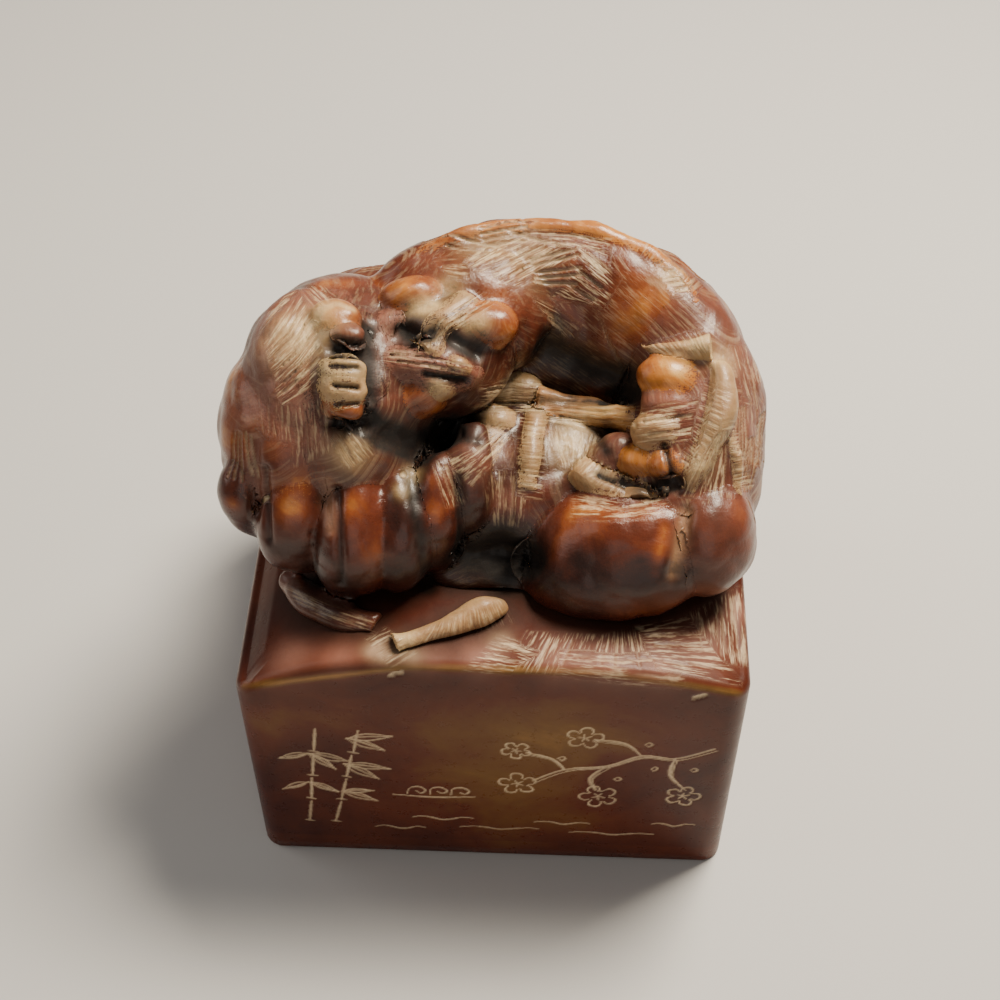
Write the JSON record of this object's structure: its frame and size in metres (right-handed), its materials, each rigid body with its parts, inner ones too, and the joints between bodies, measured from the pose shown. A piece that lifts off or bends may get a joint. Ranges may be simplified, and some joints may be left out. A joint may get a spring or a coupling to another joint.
{
  "type": "seal stamp",
  "caption": "Square soapstone seal stamp with a carved knob of curled beasts over a polished block and a flat printing face.",
  "frame": {"origin": "centre of the printing face, in the plane that rests on the paper", "axes": "+Z from the printing face up to the knob, -Y out of the polished front, +X to the right of a viewer who faces that front"},
  "size_m": [0.0531, 0.05, 0.0604],
  "materials": {
    "block_stone": "waxed and polished soapstone",
    "mauve_stone": "chiselled soapstone, thinly waxed",
    "amber_stone": "waxed and polished soapstone",
    "dark_stone": "waxed soapstone, dark in the hollows",
    "cream_stone": "chiselled soapstone, pale where cut"
  },
  "bodies": {
    "root": {"printing_face": "block_stone", "seal_block": "block_stone", "top_shelf": "mauve_stone", "left_body": "dark_stone", "left_head": "dark_stone", "left_mane": "mauve_stone", "left_shoulder": "amber_stone", "left_haunch": "mauve_stone", "left_eye": "amber_stone", "left_nose": "dark_stone", "left_upper_lip": "amber_stone", "left_lower_lip": "amber_stone", "left_chin": "amber_stone", "left_foreleg": "cream_stone", "left_tail": "mauve_stone", "right_head": "dark_stone", "right_neck": "amber_stone", "right_back": "amber_stone", "right_flank": "amber_stone", "right_outer_brow": "amber_stone", "right_inner_brow": "amber_stone", "right_cheek": "amber_stone", "right_nose": "cream_stone", "right_muzzle": "dark_stone", "right_jaw": "dark_stone", "right_upper_tooth": "cream_stone", "right_lower_tooth": "cream_stone", "right_ear": "cream_stone", "right_long_lock": "cream_stone", "right_side_lock": "mauve_stone", "right_spine": "cream_stone", "right_shoulder": "amber_stone", "right_elbow": "amber_stone", "right_forearm": "cream_stone", "right_paw": "dark_stone", "right_claw_1": "amber_stone", "right_claw_2": "amber_stone", "paw_ledge": "cream_stone", "right_thigh": "amber_stone", "right_haunch": "mauve_stone", "right_tail": "cream_stone", "knob_core": "dark_stone", "crossbar": "cream_stone", "upright": "cream_stone", "tuft": "cream_stone", "lower_tuft": "cream_stone", "left_toe_1": "amber_stone", "left_toe_2": "amber_stone", "left_toe_3": "amber_stone", "left_toe_4": "amber_stone", "left_toe_5": "amber_stone", "left_toe_6": "amber_stone"}
  },
  "joints": []
}
